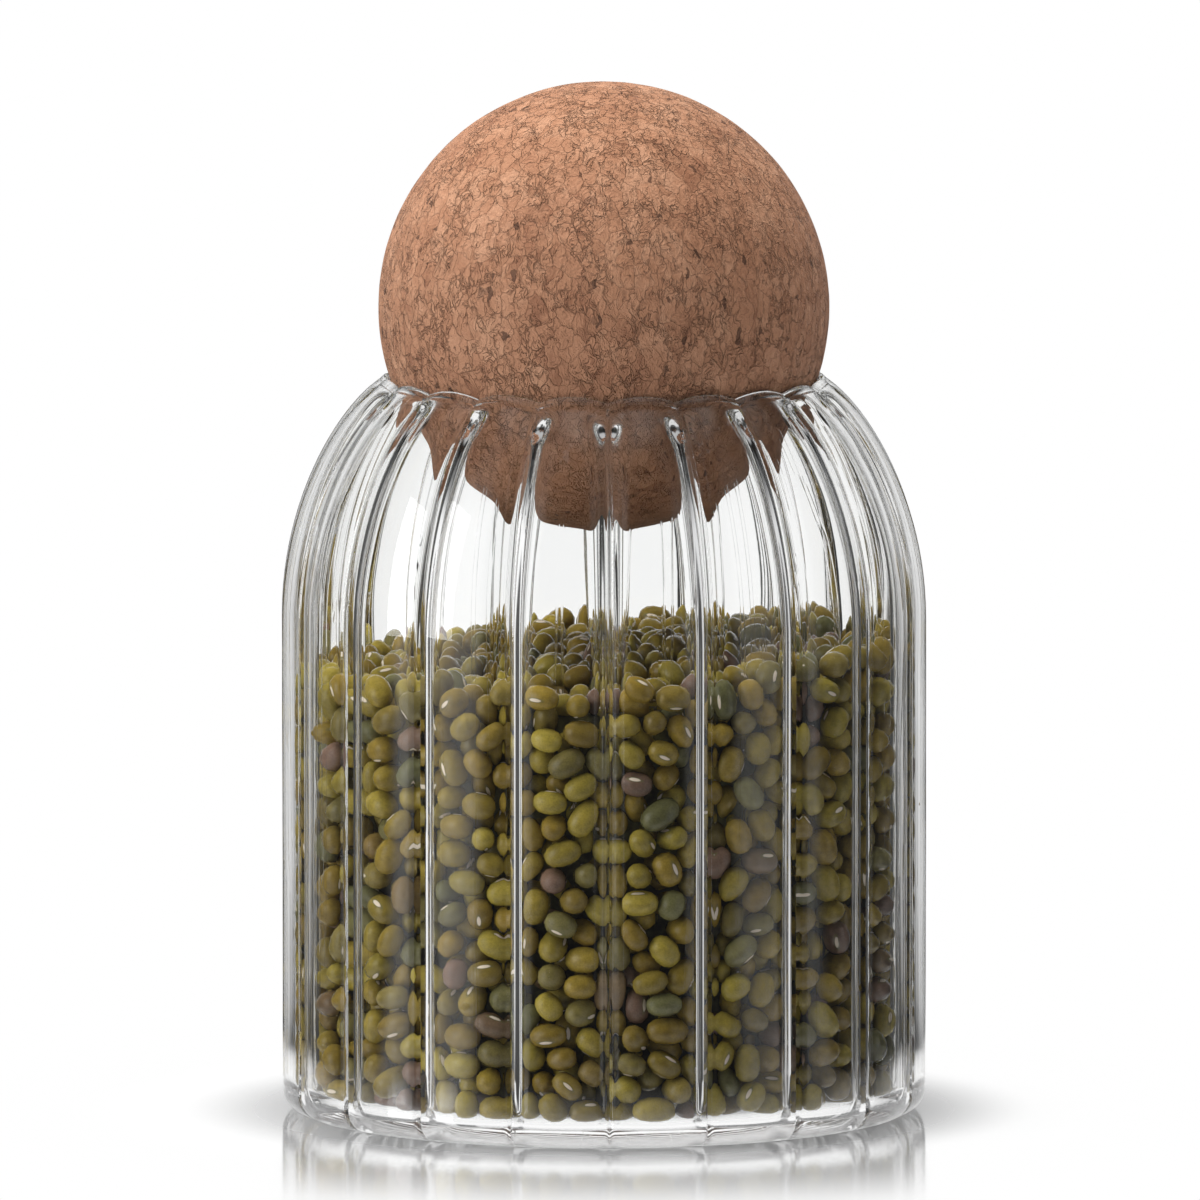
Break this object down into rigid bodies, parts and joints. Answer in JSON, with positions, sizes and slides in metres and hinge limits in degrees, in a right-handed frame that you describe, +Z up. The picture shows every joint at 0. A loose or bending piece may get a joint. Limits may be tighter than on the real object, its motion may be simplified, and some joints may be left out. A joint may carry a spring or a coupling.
{
  "type": "storage jar with ball lid",
  "caption": "Fluted clear glass storage jar with a domed shoulder, closed by a loose cork ball and filled two thirds high with dried green beans.",
  "frame": {"origin": "middle of the ring that the jar rests on, on the jar's axis", "axes": "+Z up along the jar's axis; -Y is the side the picture shows; the creases between flutes lie every 18 degrees from -Y"},
  "size_m": [0.0998, 0.0998, 0.1602],
  "materials": {
    "clear_glass": "clear, blown, fire-polished rim",
    "cork": "pressed cork granules, sanded and left bare",
    "bean_skin": "smooth olive-green skins with a soft gloss"
  },
  "bodies": {
    "jar": {"glass_jar": "clear_glass", "mung_beans": "bean_skin"},
    "lid": {"cork_ball": "cork"}
  },
  "joints": [
    {"name": "lid_lift", "type": "slide", "parent": "jar", "child": "lid", "axis": [0, 0, 1], "range_m": [0, 0.08]}
  ]
}
